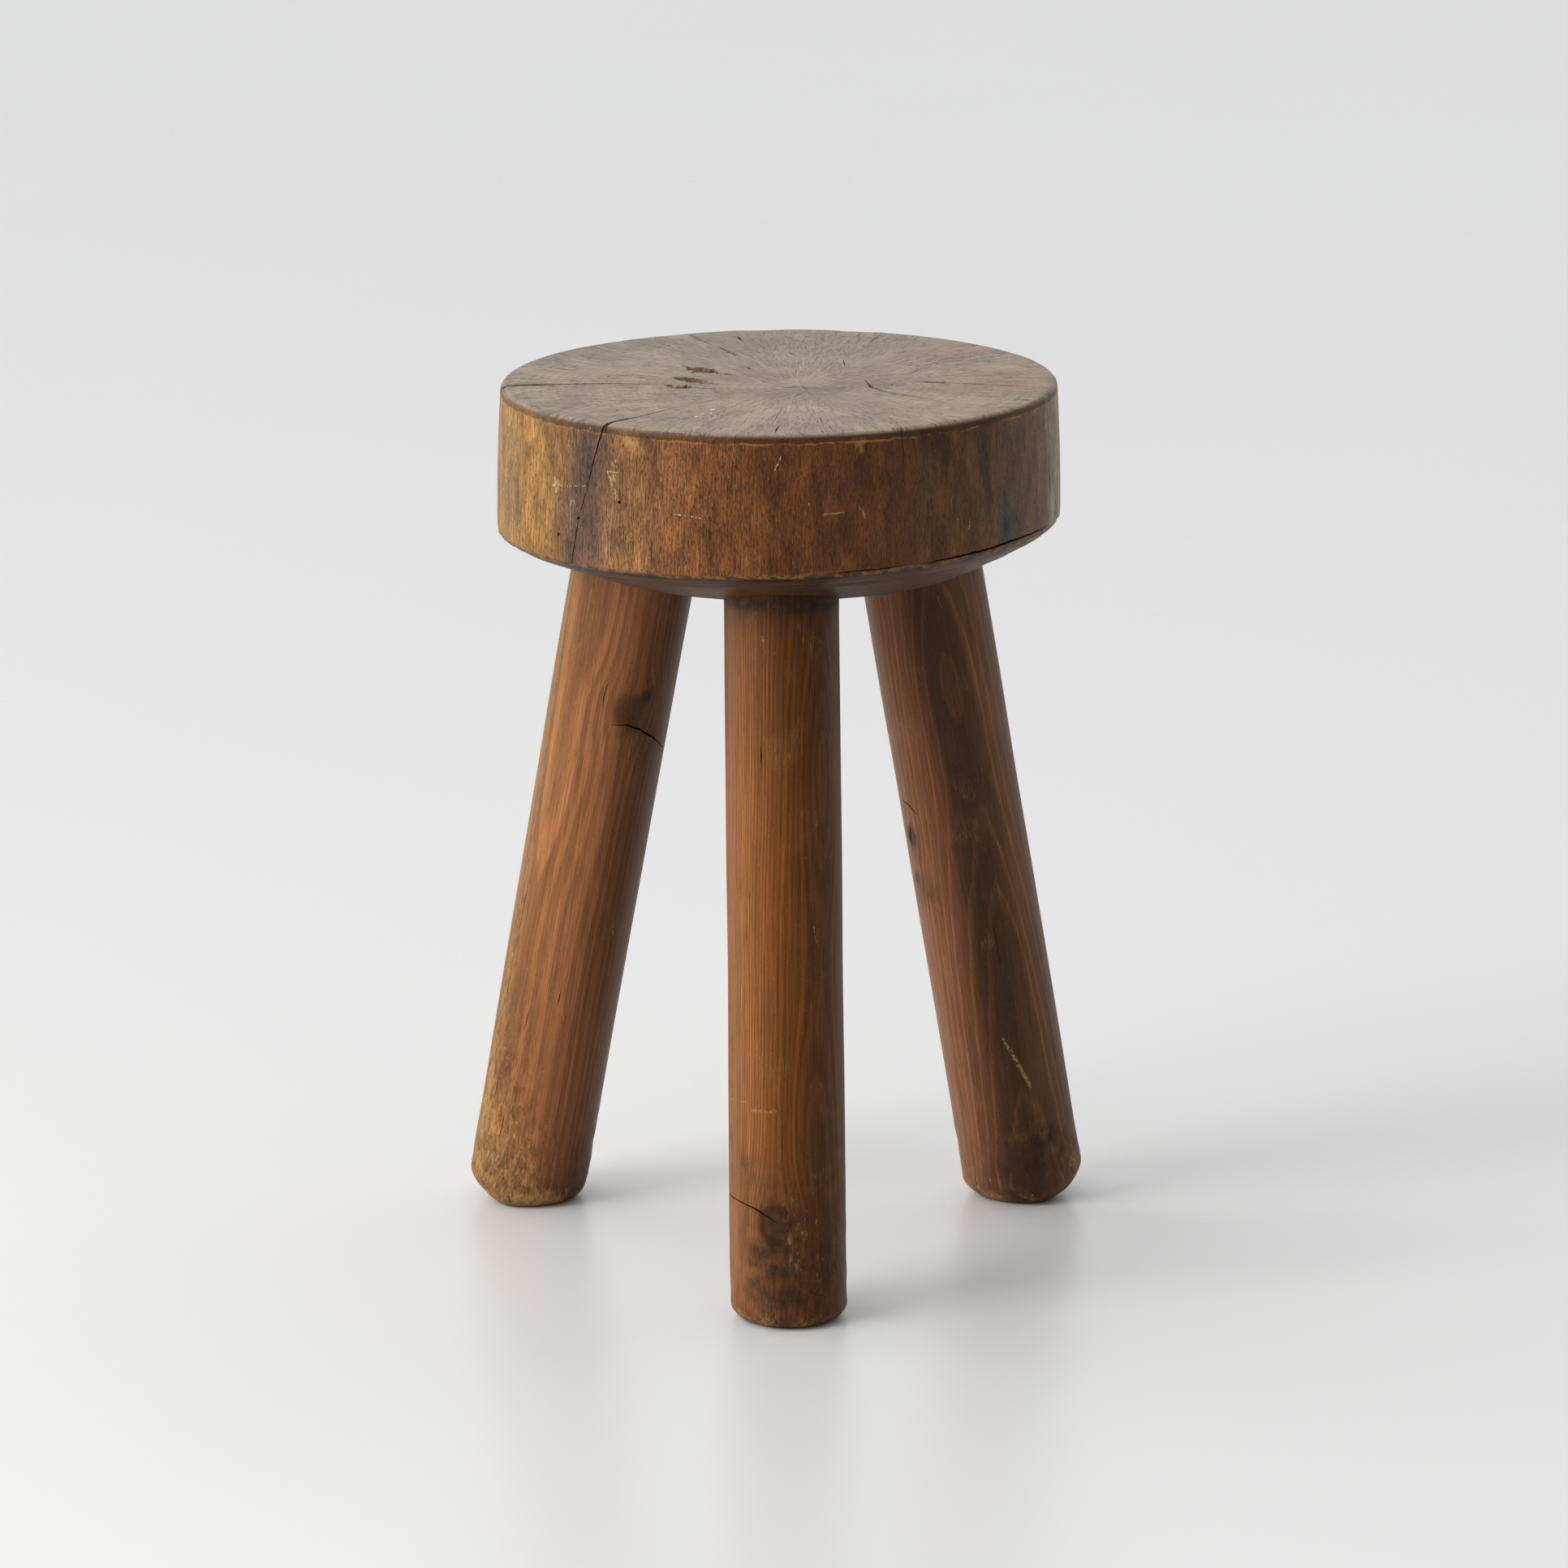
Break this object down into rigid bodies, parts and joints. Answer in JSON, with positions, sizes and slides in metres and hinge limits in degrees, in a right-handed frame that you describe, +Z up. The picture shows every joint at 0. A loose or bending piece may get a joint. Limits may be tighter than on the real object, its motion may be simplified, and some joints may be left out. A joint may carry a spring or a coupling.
{
  "type": "wooden milking stool",
  "caption": "Old three-legged wooden milking stool: thick round log slab on splayed round legs.",
  "frame": {"origin": "middle of the bounding box's base, on the floor", "axes": "+Z up; the front leg points along -Y; +X to the sitter's right when facing +Y"},
  "size_m": [0.311, 0.3122, 0.433],
  "materials": {
    "seat_wood": "satin",
    "leg_wood": "satin",
    "wedge_wood": "matte"
  },
  "bodies": {
    "root": {"seat_slab": "seat_wood", "leg_front": "leg_wood", "leg_rear_left": "leg_wood", "leg_rear_right": "leg_wood", "fox_wedge_front": "wedge_wood", "fox_wedge_rear_left": "wedge_wood", "fox_wedge_rear_right": "wedge_wood"}
  },
  "joints": []
}
